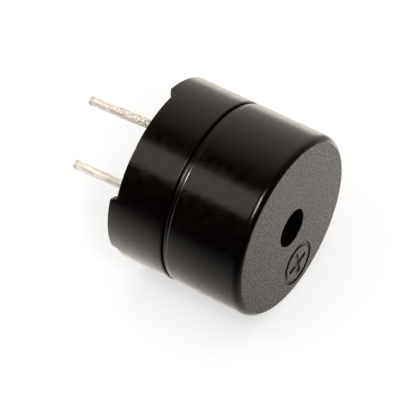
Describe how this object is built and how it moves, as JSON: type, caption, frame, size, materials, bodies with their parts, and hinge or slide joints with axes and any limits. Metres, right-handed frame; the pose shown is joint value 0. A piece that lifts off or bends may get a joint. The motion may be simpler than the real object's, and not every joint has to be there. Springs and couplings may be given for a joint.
{
  "type": "passive buzzer",
  "caption": "Round black board-mounted buzzer: two-piece moulded case with a sound hole, an engraved plus mark and straight solder pins, driven by a coil and ring magnet inside.",
  "frame": {"origin": "centre of the plane on which the feet stand, midway between the pins", "axes": "+Z out of the board towards the sound hole, pins along -Z, +X from the positive pin to the negative pin"},
  "size_m": [0.012, 0.012, 0.016],
  "materials": {
    "case_black": "satin moulded wall, fine-grained top face",
    "tinned_wire": "bright tin with drawn lines",
    "solder": "bright, slightly frosted",
    "board_laminate": "green solder mask",
    "spring_steel": "rolled",
    "soft_iron": "zinc plated",
    "ferrite": "sintered, matt",
    "enamelled_copper": "wound enamelled wire"
  },
  "bodies": {
    "root": {"upper_case": "case_black", "lower_case": "case_black", "diaphragm": "spring_steel", "diaphragm_mass": "soft_iron", "ring_magnet": "ferrite", "yoke_plate": "soft_iron", "pole_core": "soft_iron", "coil": "enamelled_copper", "coil_lead_positive": "enamelled_copper", "coil_lead_negative": "enamelled_copper", "terminal_board": "board_laminate", "positive_pin": "tinned_wire", "negative_pin": "tinned_wire", "positive_solder_joint": "solder", "negative_solder_joint": "solder"}
  },
  "joints": []
}
